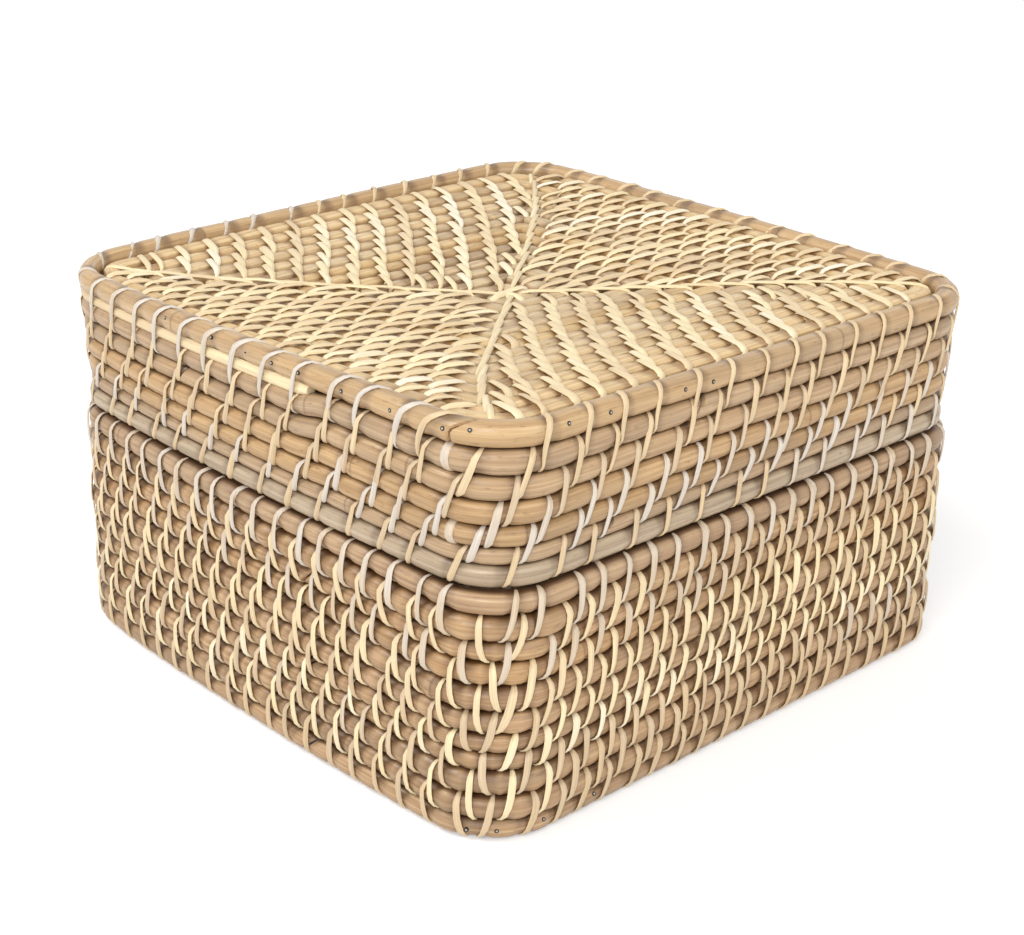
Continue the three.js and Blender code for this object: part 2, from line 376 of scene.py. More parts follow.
SHADE_AND_DIRT_BROWN, PANEL_SHADE_AND_DIRT_BROWN, FLECKS = "#4a2708", "#7c4d12", "#6b4a2b"
SPLIT_TONES = ((0.0, "#d8cdbf"), (0.2, "#d2bb9b"), (0.4, "#d9be95"), (0.6, "#e6cea5"), (0.8, "#f2dfb3"),
               (1.0, "#f8eed8"))
# The first colour is painted shade: the dark of a hole round a brad's head, put on a raised disc.
HOLE_SHADE, DULL_STEEL, BRIGHT_STEEL = "#1c140d", "#b3aca0", "#ebe6da"
CANE_IOR, STRIP_IOR = 1.5, 1.48
# The range that most of a noise lies in.
NOISE = (0.3, 0.7)


def cane_material(name, dark, middle, light, patch, patches, roughness, specks=0.5, shade_and_dirt=SHADE_AND_DIRT_BROWN):
    """Round cane: fibres along it, slow patches of another colour, short dark flecks, and, where its tone is low,
    painted shade mixed with dirt in the crevices and beside strips, and marks at knots.
    """
    g = Graph(bpy.data.materials.new(name))
    streak = g.noise(g.grain(along=0.016, across=0.75, seed=1.7), detail=4.0)
    fibre = g.noise(g.grain(along=0.05, across=2.6, seed=5.1))
    slow = g.noise(g.grain(along=0.013, across=0.06, seed=9.3))
    fleck = g.noise(g.grain(along=0.22, across=0.9, seed=3.9))
    colour = g.ramp(streak, ((0.25, dark), (0.5, middle), (0.75, light)))
    colour = g.mix(g.span(slow, (0.5, 0.68), (0.0, patches)), colour, rgb(patch))
    colour = g.dim(colour, g.span(fibre, NOISE, (0.86, 1.09)))
    spots = g.span(fleck, (0.6, 0.74), (0.0, specks))
    colour = g.mix(spots, colour, rgb(FLECKS))
    # Painted shade and dirt: where the tone is low the colour goes to the shade-and-dirt brown.
    colour = g.mix(g.tone(), rgb(shade_and_dirt), colour)
    tint = g.node("TexWhiteNoise", {"W": g.parts[2]}, noise_dimensions="1D").outputs[0]
    other = g.math("FRACT", g.math("MULTIPLY", tint, 7.0))
    hue = g.node("HueSaturation", {"Color": colour, "Value": g.span(tint, (0.0, 1.0), (0.9, 1.08)),
                                   "Saturation": g.span(other, (0.0, 1.0), (0.86, 1.05))})
    sheen = g.span(streak, NOISE, (roughness + 0.09, roughness - 0.05))
    height = g.math("ADD", g.math("MULTIPLY", fibre, 0.6), g.math("MULTIPLY", streak, 0.4))
    g.shade({"Base Color": hue.outputs[0], "Roughness": g.math("ADD", sheen, g.math("MULTIPLY", spots, 0.3)),
             "Normal": g.bump(height, strength=0.3, distance=0.00035), "IOR": CANE_IOR})
    return g.data


def strip_material(name):
    """Split cane: flat strips with fine lines along them; tone picks the strip's own colour."""
    g = Graph(bpy.data.materials.new(name))
    fibre = g.noise(g.grain(along=0.05, across=2.2, seed=2.2))
    slow = g.noise(g.grain(along=0.04, across=0.25, seed=6.6), detail=2.0, roughness=0.5)
    colour = g.ramp(g.math("ADD", g.tone(), g.span(slow, NOISE, (-0.1, 0.1))), SPLIT_TONES)
    g.shade({"Base Color": g.dim(colour, g.span(fibre, NOISE, (0.8, 1.06))),
             "Roughness": g.span(fibre, NOISE, (0.46, 0.32)),
             "Normal": g.bump(fibre, strength=0.35, distance=0.0002), "IOR": STRIP_IOR})
    return g.data


def brad_material(name):
    """A steel pin's head on a disc painted dark as the shade of a hole: tone 0 is that painted shade, 1 the head."""
    g = Graph(bpy.data.materials.new(name))
    rust = g.noise(g.grain(along=1.7, across=1.7, seed=3.1))
    steel = g.mix(g.span(rust, (0.35, 0.65)), rgb(DULL_STEEL), rgb(BRIGHT_STEEL))
    g.shade({"Base Color": g.mix(g.tone(), rgb(HOLE_SHADE), steel),
             "Metallic": g.span(g.tone(), (0.4, 0.9), (0.0, 0.8)),
             "Roughness": g.span(rust, NOISE, (0.3, 0.5)),
             "Normal": g.bump(rust, strength=0.2, distance=0.0001)})
    return g.data


BASE_CANE = cane_material("base_cane", "#916d46", "#b69065", "#d1af81", "#937857", patches=0.65, roughness=0.36)
LID_CANE = cane_material("lid_cane", "#98754b", "#b99568", "#d3b284", "#957b5b", patches=0.6, roughness=0.34)
EDGE_CANE = cane_material("edge_cane", "#937c5f", "#b29b7b", "#c8b393", "#8c7a63", patches=0.5, roughness=0.3)
RIM_CANE = cane_material("rim_cane", "#a58053", "#c29c69", "#d8b580", "#a68a66", patches=0.6, roughness=0.28)
PANEL_CANE = cane_material("panel_cane", "#bf9a66", "#d8b987", "#e9d2a5", "#a98a62", patches=0.72, roughness=0.45,
                           specks=0.4, shade_and_dirt=PANEL_SHADE_AND_DIRT_BROWN)
STRIPS = strip_material("split_cane")
BRADS = brad_material("brad_steel")


# Where the stitches go on the walls. The parts of the way down are 0 at the top and 1 at the bottom.

LEAN = 0.9
UPRIGHT = 0.65
HOOK_FROM = 0.5
CREST = 0.4
RIM_LEAN_FROM, RIM_LEAN_OVER = 0.3, 0.5
CROSSES, RIM_CROSSES = (0.22, 0.78), (0.5, 0.86)
NONE = (0.0,) * 4


def bend(f):
    """A stitch starts upright and leans more and more."""
    return UPRIGHT * f + (1 - UPRIGHT) * f * f


class Course:
    """A row of stitches: where each starts along a wall, its lean, the hook at its end and its way in over a rim."""

    def __init__(self, starts, slants, hooks, leads):
        self.starts, self.slants, self.hooks, self.leads = (v[:, None] for v in (starts, slants, hooks, leads))
        self.rim = bool(np.any(leads))
        self.upper, self.lower = RIM_CROSSES if self.rim else CROSSES

    def place(self, f):
        """Where the stitches are along the wall after the part f of their way down the outside."""
        if self.rim:
            lean = smooth((f - RIM_LEAN_FROM) / RIM_LEAN_OVER)
            return self.starts - self.leads * np.clip(1 - f / CREST, 0, 1) + self.slants * lean
        return self.starts + self.slants * bend(f) + self.hooks * smooth((f - HOOK_FROM) / (1 - HOOK_FROM))


class Chains:
    """Where the stitches start: on each side they stand in chains, which drift from one cane to the next."""

    ROPES = 32
    # How far chains stray at first, how much of that the next course keeps, how much a rim's slant follows its lead,
    # and the least distance of two stitches as a share of the spacing.
    FIRST_WANDER, KEPT, LEAD_SHARE, LEAST_SPACING = 1.6, 0.8, 0.4, 0.45

    def __init__(self, seed, spacing, drift, slant, wander, wilder=1.0, hook=NONE, lead=NONE):
        self.rng = np.random.default_rng(seed)
        self.spacing, self.drift, self.slant, self.wander = spacing, drift, slant, wander
        self.wilder, self.hook, self.lead = wilder, hook, lead
        self.index = np.arange(-self.ROPES, self.ROPES + 1)
        self.phase = self.rng.uniform(0, 1, 4) * np.array(spacing)
        self.offset = self.rng.normal(0, self.FIRST_WANDER * wander, (4, len(self.index)))

    def course(self, k):
        """The course that is k canes below the top one, which may be wilder."""
        wander = self.wander * (self.wilder if k == 0 else 1.0)
        parts = []
        for side in range(4):
            step = self.rng.normal(0, wander, len(self.index))
            self.offset[side] = self.KEPT * self.offset[side] + step
            s = self.index * self.spacing[side] + self.phase[side] + k * self.drift[side] + self.offset[side]
            lead, slope = 0.0, self.slant[side]
            if k == 0 and self.lead[side]:
                lead = self.lead[side]
                slope = (1 - self.LEAD_SHARE) * slope + self.LEAD_SHARE * lead
            lean = slope + self.rng.normal(0, LEAN, len(s))
            keep = (s >= -QUARTER / 2) & (s < QUARTER / 2)
            parts.append(np.stack([s + side * QUARTER, lean, 0 * s + self.hook[side], 0 * s + lead])[:, keep])
        table = np.concatenate(parts, 1)
        table = table[:, np.argsort(table[0])]
        keep = np.diff(np.r_[table[0, -1] - LOOP, table[0]]) > self.LEAST_SPACING * min(self.spacing)
        return Course(*table[:, keep])


BASE_CHAINS = Chains(seed=77, spacing=(11.8, 11.7, 11.7, 11.8), drift=(-3.6, -5.7, -4.6, -4.6),
                     slant=(-1.0, -4.0, -2.5, -2.5), wander=0.4, wilder=2.0, hook=(2.8, -2.0, 0.0, 0.0))
LID_CHAINS = Chains(seed=78, spacing=(16.0, 16.4, 16.4, 16.0), drift=(-5.2, -5.1, -5.1, -5.1),
                    slant=(-8.0, -6.2, -5.5, -5.5), wander=0.8, lead=(-8.0, -3.0, -5.0, -5.0))
COLLAR_CHAINS = Chains(seed=79, spacing=(22.0,) * 4, drift=NONE, slant=(-3.0,) * 4, wander=1.0)

BASE = Wall(BASE_ROWS, BASE_CHAINS, BASE_CORNER, lid=False, seed=11, gap=COURSE_GAP)
LID = Wall(LID_ROWS, LID_CHAINS, LID_CORNER, lid=True, seed=12, gap=COURSE_GAP, filler=FILLER_HIGH)
COLLAR = Wall(COLLAR_ROWS, COLLAR_CHAINS, None, lid=False, seed=13, gap=COLLAR_GAP)


def crossings(courses, row):
    """Where stitches cross the outside of a row's cane."""
    above, below = courses[:len(courses) - row], courses[len(courses) - row:]
    places = [course.place(course.upper) for course in below[:1]]
    places += [course.place(course.lower) for course in above[-1:]]
    return np.concatenate(places).ravel()


def grip(distance, width):
    """1 under a strip and fading to 0 beside it."""
    return np.exp(-(np.maximum(distance - width / 2, 0) / GRIP_REACH) ** 2)


def loop_distance(s, places):
    """How far each s is from the nearest of the places, along the loop."""
    s, known = np.mod(s, LOOP), np.sort(np.mod(places, LOOP))
    known = np.r_[known[-1] - LOOP, known, known[0] + LOOP]
    after = np.searchsorted(known, s).clip(1, len(known) - 1)
    return np.minimum(s - known[after - 1], known[after] - s)


# Hoops of cane: knots, lumps, rounded ends, and the slanting cut where they meet, which curls over the rim's top

KNOTS = 4
KNOT_ROOM = (0.2, 0.8)
KNOT_RINGS = (-4.0, -2.0, -0.7, 0.0, 0.7, 2.0, 4.0)
KNOT_SWELL, KNOT_REACH = 0.035, 2.2
KNOT_MARK, MARK_REACH = 0.5, 0.4
LUMPS_AROUND, LUMPS_ALONG, LUMP_SIZES = (1, 2, 3), (3, 8, 17), (0.002, 0.008)
END_ROUND, END_LOSS = 0.7, 0.2
JOINT_GAP, JOINT_SLANT, JOINT_RUN = 0.9, 6.0, 18.0
JOINT_ALONG, LID_JOINT = 35.0, 73.6
RIM_GAP, RIM_CURL, RIM_JOINT = 0.45, 7.0, 104.0

# Where round a cane the pinch, the painted shade in the crevices and the painted shade with dirt beside strips are,
# from the cosine or sine of the angle.
PINCH_INNER, PINCH_OVER = -0.2, 0.8
CREVICE_BELOW, CREVICE_ABOVE = 0.82, 0.86
FACE_SHADE_SHARE = 0.35
GRAIN_RADIUS = 4.0
BASE_CANES, LID_CANES, COLLAR_CANES = 100, 200, 300


def hoop(wall, row, joint, material, slot, cane_id, rim=False):
    rng = np.random.default_rng(cane_id)
    gap = RIM_GAP if rim else JOINT_GAP
    first, last = joint + gap / 2, joint + LOOP - gap / 2
    knots = joint + LOOP * (np.arange(KNOTS) + rng.uniform(*KNOT_ROOM, KNOTS)) / KNOTS
    s = [np.linspace(first, last, int(LOOP / CANE_STEP)), [first + END_ROUND, last - END_ROUND]]
    s = np.sort(np.concatenate(s + [knots + d for d in KNOT_RINGS]))
    around = pi + np.linspace(0, FULL_TURN, CANE_RING, endpoint=False)
    c, d = cos(around), sin(around)
    o, z, r = wall.at(row, s)
    lumps = np.zeros((len(s), CANE_RING))
    for m in LUMPS_AROUND:
        for n in LUMPS_ALONG:
            wave = m * around[None, :] + n * FULL_TURN * s[:, None] / LOOP + rng.uniform(0, ANY_PHASE)
            lumps += rng.uniform(*LUMP_SIZES) * cos(wave)
    from_knot = np.abs(s[:, None] - knots).min(1)
    from_end = np.minimum(s - first, last - s)
    swell = 1 + KNOT_SWELL * np.exp(-(from_knot / KNOT_REACH) ** 2)
    swell = swell - END_LOSS * np.clip(1 - from_end / END_ROUND, 0, 1)
    held = grip(loop_distance(s, crossings(wall.courses, row)), wall.strip)[:, None]
    squeeze = 1 - wall.pinch * held * smooth((c - PINCH_INNER) / PINCH_OVER)
    radius = (r * swell)[:, None] * squeeze * (1 + lumps) * pressed(around)
    cut = RIM_CURL * np.maximum(d, 0) ** 2 if rim else JOINT_SLANT / 2 * d
    lean = cut * np.clip(1 - from_end / JOINT_RUN, 0, 1)[:, None]
    point, outward = plan(s[:, None] + lean)
    reach = o[:, None] + radius * c
    rings = lifted(point + outward * reach[..., None], z[:, None] + radius * d)
    # Painted shade, with some dirt, in the crevices where the cane meets the canes above and below.
    crevice_shade = smooth((-d - CREVICE_BELOW) / (1 - CREVICE_BELOW))
    if not rim:
        crevice_shade = crevice_shade + smooth((d - CREVICE_ABOVE) / (1 - CREVICE_ABOVE))
    marks = 1 - KNOT_MARK * np.exp(-(from_knot / MARK_REACH) ** 2)
    # Painted shade, with some dirt, beside the strips, strongest towards the crevices.
    strip_shade_and_grime = 1 - STRIP_SHADE_AND_GRIME * held * (FACE_SHADE_SHARE + (1 - FACE_SHADE_SHARE) * np.abs(d))
    tone = (1 - CREVICE_SHADE_AND_DIRT * crevice_shade) * marks[:, None] * strip_shade_and_grime
    made = Build()
    made.tube(settle(rings, wall.lid), grain_at(s[:, None], GRAIN_RADIUS * around, cane_id), tone)
    name = wall.rows[row]
    made.object(name + "_cane", material, wall.body, [name], CANE_CREASE)


# The lid's rows whose joint or look isn't that of the others.
LID_JOINTS = {0: 2 * QUARTER + JOINT_ALONG, 1: QUARTER - LID_JOINT, LID_TOP: RIM_JOINT}
LID_LOOKS = {0: (EDGE_CANE, "edge_cane"), LID_TOP: (RIM_CANE, "lid_cane")}

for i in range(BASE_TOP + 1):
    hoop(BASE, i, (i % 4) * QUARTER + JOINT_ALONG, BASE_CANE, "base_cane", BASE_CANES + i)
for i in range(LID_TOP + 1):
    joint = LID_JOINTS.get(i, (i % 4) * QUARTER - JOINT_ALONG)
    hoop(LID, i, joint, *LID_LOOKS.get(i, (LID_CANE, "lid_cane")), LID_CANES + i, rim=i == LID_TOP)
for i in range(len(COLLAR_ROWS)):
    hoop(COLLAR, i, (3 - i) * QUARTER, BASE_CANE, "base_cane", COLLAR_CANES + i)


# Coils of the lid's top and of the floor

COIL_THICK = 7.2
COIL_RADIUS = 3.86
COIL_TURNS = 14
TIGHTEST_BEND, BEND_POINTS = 0.4, 5
THICK_WAVES, THICK_WAVE = (19.0, 47.0, 83.0), 0.012
LEVEL_WAVES, LEVEL_WAVE = (31.0, 71.0), 0.1
TIP_RINGS, TIP_SIZE = 6, 0.35
CANE_LENGTH = 900.0
COIL_GRAIN = 3.9
FLANK = 0.8

# The stitches of each side: spacing, drift from turn to turn, slant, and how far to one side of them the painted shade
# with dirt is moved.
PANEL_ROPES = 30
PANEL_SPACING, PANEL_DRIFT = 12.7, -5.8
PANEL_PHASE = (9.6, 1.9, 5.0, 7.5)
PANEL_SLANT = (-6.0, -11.5, -6.0, -11.5)
PANEL_SHADE_SHIFT = (0.0, -1.3, 0.0, 1.3)
PANEL_WANDER, PANEL_LEAN = 0.45, 0.6
ROW_START, ROW_END, CORNER_SHARE = 1.5, 2.5, 0.3
PANEL_REACH = 9.0
INNER_CROSS, OUTER_CROSS = 0.25, 0.75


def normal(side):
    a = side * pi / 2
    return np.array([sin(a), -cos(a)])


class Coil:
    """One cane laid in a square spiral, from the middle outwards; the lid's sinks towards the middle."""

    SIDES = 4 * COIL_TURNS

    def __init__(self, node, lid, seed):
        low, high = box_mm(node)
        self.node, self.lid = node, lid
        self.room = (high[1] - low[1] - COIL_THICK) / 2
        dish = high[2] - low[2] - COIL_THICK
        self.step = self.room / (self.SIDES - 1)
        self.pitch = 4 * self.step
        self.corner = CORNER_RADIUS - (HALF - self.room)
        i = np.arange(self.SIDES)
        self.outs = self.step * (i + 1) + np.where(i % 4 < 2, self.step, -self.step)
        self.z = high[2] - COIL_THICK / 2 - dish * (1 - (i + 1) / self.SIDES)
        self.lay(np.random.default_rng(seed))

    def lay(self, rng):
        """Places the stitches over each side's turns: where their inner ends are along the side, and their slants."""
        self.stitches = {}
        self.crossed = [[] for i in range(self.SIDES)]
        for side in range(4):
            for j, i in enumerate(range((side + 1) % 4, self.SIDES - 4, 4)):
                limit = self.outs[i] - CORNER_SHARE * self.pitch
                ropes = np.arange(-PANEL_ROPES, PANEL_ROPES + 1)
                chain = ropes * PANEL_SPACING + PANEL_DRIFT * j + PANEL_PHASE[side]
                low = max(ROW_START, ROW_START - PANEL_SLANT[side] - self.pitch) - limit
                inside = (chain > low) & (chain < limit)
                ropes, chain = ropes[inside], chain[inside]
                if limit - max(chain, default=low) > PANEL_REACH:
                    ropes, chain = np.append(ropes, PANEL_ROPES), np.append(chain, limit - ROW_END)
                if min(chain, default=limit) - low > PANEL_REACH:
                    ropes, chain = np.append(ropes, -PANEL_ROPES), np.append(chain, low + ROW_END)
                chain = chain + rng.normal(0, PANEL_WANDER, len(chain))
                slants = PANEL_SLANT[side] + rng.normal(0, PANEL_LEAN, len(chain))
                self.stitches[i] = (ropes, chain, slants)
                self.crossed[i] += list(chain + INNER_CROSS * slants)
                self.crossed[i + 4] += list(chain + OUTER_CROSS * slants)

    def bend(self, i):
        far = max(self.outs[i], self.outs[i + 1])
        return max(TIGHTEST_BEND * self.pitch, self.corner - (self.room - far))

    def path(self):
        """The centre line, from the middle outwards, and the side each point is on."""
        points, sides = [np.append(normal(3) * self.outs[0], self.z[0])], [0]
        for i in range(self.SIDES - 1):
            na, nb = normal((3 + i) % 4), normal(i % 4)
            radius = self.bend(i)
            centre = na * (self.outs[i] - radius) + nb * (self.outs[i + 1] - radius)
            level = (self.z[i] + self.z[i + 1]) / 2
            for t in np.linspace(0, pi / 2, max(BEND_POINTS, int(radius))):
                points.append(np.append(centre + radius * (na * cos(t) + nb * sin(t)), level))
                sides.append(i if t < pi / 4 else i + 1)
        end = normal(2) * self.outs[-1] + normal(3) * (self.room - self.corner)
        points.append(np.append(end, self.z[-1]))
        sides.append(self.SIDES - 1)
        fine, on = [], []
        for p, q, i in zip(points[:-1], points[1:], sides[1:]):
            length = np.linalg.norm(q - p)
            if length > TINY:
                parts = max(1, int(round(length / CANE_STEP)))
                fine += [p + (q - p) * k / parts for k in range(parts)]
                on += [i] * parts
        return np.array(fine + [points[-1]]), np.array(on + [sides[-1]])

    def held(self, path, sides, shift=NONE):
        """1 where a strip lies on the cane, moved along by the side's shift, and fading to 0 beside it."""
        out = np.zeros(len(path))
        for i, places in enumerate(self.crossed):
            here = sides == i
            if places and here.any():
                along = path[here, :2] @ turned(normal((3 + i) % 4))
                away = along[:, None] - np.array(places) - shift[(3 + i) % 4]
                out[here] = grip(np.abs(away).min(1), PANEL_STRIP)
        return out

    def cane(self, cane_id, body):
        path, sides = self.path()
        held = self.held(path, sides)
        ahead = unit(np.gradient(path[:, :2], axis=0))
        across = np.stack([ahead[:, 1], -ahead[:, 0]], -1)
        run = run_along(path)
        around = -pi / 2 + np.linspace(0, FULL_TURN, COIL_RING, endpoint=False)
        rng = np.random.default_rng(cane_id)
        thick, level = (sum(cos(run / w + rng.uniform(0, ANY_PHASE)) for w in waves)
                        for waves in (THICK_WAVES, LEVEL_WAVES))
        radius = COIL_RADIUS * (1 + THICK_WAVE * thick) * (1 - PANEL_PINCH * held)
        radius[-TIP_RINGS:] *= np.linspace(1, TIP_SIZE, TIP_RINGS)
        radius = radius[:, None] * pressed(around, PANEL_PRESS)
        flat = path[:, None, :2] + across[:, None, :] * (radius * cos(around))[..., None]
        rings = lifted(flat, (path[:, 2] + LEVEL_WAVE * level)[:, None] + radius * sin(around))
        if self.lid:
            rings = skewed(rings)
        piece = cane_id + np.floor(run / CANE_LENGTH)
        grain = grain_at(run[:, None], COIL_GRAIN * around, piece[:, None])
        # Painted shade, with some dirt, in the crevices between turns and beside the strips, moved to one side of
        # them.
        crevice_shade = smooth((np.abs(cos(around)) - FLANK) / (1 - FLANK))
        tone = (1 - PANEL_CREVICE_SHADE_AND_DIRT * crevice_shade) * (1 - PANEL_SHADE_AND_GRIME * self.held(path, sides, PANEL_SHADE_SHIFT))[:, None]
        made = Build()
        made.tube(settle(rings, self.lid), grain, tone)
        made.object(self.node + "_cane", PANEL_CANE, body, [self.node], CANE_CREASE)


TOP_COIL = Coil("lid_top_coil", lid=True, seed=801)
FLOOR_COIL = Coil("base_floor_coil", lid=False, seed=861)
TOP_COIL.cane(400, "lid")
FLOOR_COIL.cane(420, "base")


# Strips of split cane: the section, as shares of half the width and of the thickness

STRIP_RING = np.array(((-1.0, 0.28), (-0.62, 0.8), (0.0, 1.0), (0.62, 0.8), (1.0, 0.28), (0.9, 0.0), (-0.9, 0.0)))

# How many stitches one length of strip makes, and how much the tones of lengths and of stitches differ.
STRIP_STITCHES = (10, 34)
STRIP_SPREAD, STITCH_SPREAD = 0.05, 0.03


def ribbon(made, points, normals, width, thick, tone, strip_id, lid, roll):
    """A closed strip through points, its back on them and its round face towards normals."""
    ahead = unit(np.roll(points, -1, 0) - np.roll(points, 1, 0))
    across = unit(np.cross(ahead, normals))
    face = np.cross(across, ahead)
    c, d = cos(roll)[:, None], sin(roll)[:, None]
    across, face = across * c + face * d, face * c - across * d
    sideways = STRIP_RING[:, 0] * width[:, None] / 2
    outward = STRIP_RING[:, 1] * thick[:, None]
    rings = points[:, None, :] + across[:, None, :] * sideways[..., None] + face[:, None, :] * outward[..., None]
    grain = grain_at(run_along(points)[:, None], sideways, strip_id)
    made.tube(settle(rings, lid), grain, tone[:, None], closed=True)


def tones(rng, count, palette):
    """One tone for each stitch, the same along each length of strip."""
    out = []
    while len(out) < count:
        tone = rng.choice(palette) + rng.uniform(-STRIP_SPREAD, STRIP_SPREAD)
        out += [tone] * int(rng.integers(*STRIP_STITCHES))
    return np.array(out[:count]) + rng.uniform(-STITCH_SPREAD, STITCH_SPREAD, count)


# A wall stitch: how far it has gone, which cane it is on (0 upper, 1 lower) and where round that cane, in degrees.
OUTSIDE = ((0.0, 0, 118), (0.07, 0, 92), (0.14, 0, 66), (0.22, 0, 42), (0.31, 0, 18), (0.4, 0.2, 4), (0.5, 0.5, 0),
           (0.6, 0.8, -4), (0.69, 1, -18), (0.78, 1, -42), (0.86, 1, -66), (0.93, 1, -92), (1.0, 1, -118))
INSIDE = ((0.2, 1, -150), (0.4, 1, -180), (0.6, 0, 180), (0.8, 0, 150))
RIM_INSIDE = ((0.33, 1, -150), (0.66, 1, -180))
RIM_OUTSIDE = ((0.0, 0, 205), (0.1, 0, 180), (0.2, 0, 150), (0.3, 0, 122), (0.4, 0, 95), (0.47, 0, 68), (0.54, 0, 42),
               (0.6, 0, 18), (0.66, 0.2, 4), (0.72, 0.5, 0), (0.78, 0.8, -4), (0.84, 1, -18), (0.88, 1, -42),
               (0.92, 1, -66), (0.96, 1, -92), (1.0, 1, -118))

# How much of a stitch shows at its ends, how far it bows, stands off its cane or sinks in where it doesn't show.
END_SHOWS = 0.04
STITCH_BOW = 0.45
LOOSE, LOOSER, SUNK = 0.05, 0.5, 0.15

# Where it is widest and where it narrows, how wide it is at its tail, tip and back, and how thin at its ends.
WIDE_AT, BASE_NARROWS, LID_NARROWS, TIP_AT = 0.3, 0.58, 0.66, 0.98
TAIL_WIDTH, TIP_LOSS, BACK_WIDTH = 0.5, 0.8, 0.3
STRIP_WIDTHS = (0.84, 1.12)
END_THICK = 0.6
TWIST, STITCH_ROLL = 0.4, 0.12


def stitch_path(face, back):
    """How far a stitch has gone on its face and back, which cane it is on, the angle there, and how much shows."""
    face, back = np.array(face, float), np.array(back, float)
    f, g, both = face[:, 0], back[:, 0], np.r_[face, back]
    shown = np.r_[sin(pi * (END_SHOWS + (1 - 2 * END_SHOWS) * f)), 0 * g]
    return f, g, both[:, 1], radians(both[:, 2]), shown


def taper(f, tail, wide_at, narrows, tip_at, tip_loss):
    """A stitch's width on its face: it widens from its tail and narrows to its tip."""
    return (tail + (1 - tail) * smooth(f / wide_at)) * (1 - tip_loss * smooth((f - narrows) / (tip_at - narrows)))


def wall_course(name, wall, upper, palette, seed, replaces=()):
    """One course of stitches round two canes: down outside on a slant, up inside to the next stitch."""
    rng = np.random.default_rng(seed)
    course = wall.courses[len(wall.courses) - upper]
    tables = (RIM_OUTSIDE, RIM_INSIDE) if course.rim else (OUTSIDE, INSIDE)
    f, g, which, turns, shown = stitch_path(*tables)
    count = len(course.starts)
    each = (count, 1)
    down = course.place(f) + rng.normal(0, STITCH_BOW, each) * sin(pi * f)
    ends, following = down[:, -1:], np.roll(down[:, :1], -1, 0)
    following[-1] += LOOP
    s = np.hstack([down, ends + (following - ends) * g])
    above, below = wall.at(upper, s), wall.at(upper - 1, s)
    o, z, r = (a + (b - a) * which for a, b in zip(above, below))
    lift = shown * (LOOSE + LOOSER * rng.random(each) ** 3) - SUNK * (1 - shown)
    point, outward = plan(s)
    reach = o + (r * STRIP_SEAT + lift) * cos(turns)
    points = lifted(point + outward * reach[..., None], z + (r * STRIP_SEAT + lift) * sin(turns))
    normals = lifted(outward * cos(turns)[:, None], np.broadcast_to(sin(turns), s.shape))
    tail = 1.0 if course.rim else TAIL_WIDTH
    face = taper(f, tail, WIDE_AT, LID_NARROWS if wall.lid else BASE_NARROWS, TIP_AT, TIP_LOSS)
    widths = wall.strip * rng.uniform(*STRIP_WIDTHS, each) * np.r_[face, 0 * g + BACK_WIDTH]
    thick = STRIP_THICK * (END_THICK + (1 - END_THICK) * shown) + np.zeros(each)
    twist = TWIST * np.r_[2 * f - 1, 1 - 2 * g]
    if course.rim:
        twist = np.maximum(twist, 0)
    rolls = twist + rng.normal(0, STITCH_ROLL, each) * shown
    tone = tones(rng, count, palette)[:, None] + 0 * s
    made = Build()
    ribbon(made, points.reshape(-1, 3), normals.reshape(-1, 3), widths.ravel(), thick.ravel(), tone.ravel(),
           seed, wall.lid, rolls.ravel())
    made.object(name, STRIPS, wall.body, replaces)


def nodes(prefix, ends=("",)):
    return [f"{prefix}_{side}{end}" for side in SIDES for end in ends]


BASE_TONES = (0.12, 0.2, 0.25, 0.3, 0.4, 0.5, 0.62, 0.8)
RIM_TONES = (0.06, 0.15, 0.25)
LID_TONES = (0.0, 0.03, 0.08, 0.25, 0.4, 0.5)

# A wall, the tones of its strips, those of its rim's strips, and the first of its random seeds.
STITCHING = ((BASE, BASE_TONES, RIM_TONES, 500), (LID, LID_TONES, LID_TONES, 600))
COLLAR_SEED = 700

for wall, palette, rim_palette, seed in STITCHING:
    top = len(wall.courses)
    replaced = nodes(wall.body + "_lashing", ("_a", "_b"))
    wall_course(f"{wall.body}_stitches_{top:02d}", wall, top, rim_palette, seed + top, replaced)
    for upper in range(top - 1, 0, -1):
        wall_course(f"{wall.body}_stitches_{upper:02d}", wall, upper, palette, seed + upper)
wall_course("collar_stitches", COLLAR, 1, BASE_TONES, COLLAR_SEED, nodes("collar_lashing"))


# A panel stitch over two canes of a coil (0 inner, 1 outer) and back underneath.
OVER = ((0.0, 0, -116), (0.08, 0, -88), (0.17, 0, -60), (0.27, 0, -34), (0.38, 0.1, -10), (0.5, 0.5, 0),
        (0.62, 0.9, 10), (0.73, 1, 34), (0.83, 1, 60), (0.92, 1, 88), (1.0, 1, 116))
UNDER = ((0.2, 1, 150), (0.4, 1, 180), (0.6, 0, 180), (0.8, 0, 210))

# The same values as for the walls' stitches, and what taper takes.
FLAT_LOOSER = 0.4
FLAT_TAPER, FLAT_BACK = (0.3, 0.5, 0.8, 1.0, 0.5), 0.25
FLAT_WIDTHS = (0.86, 1.12)
FLAT_FULL = 0.45
FLAT_TWIST, FLAT_ROLL = 0.3, 0.1


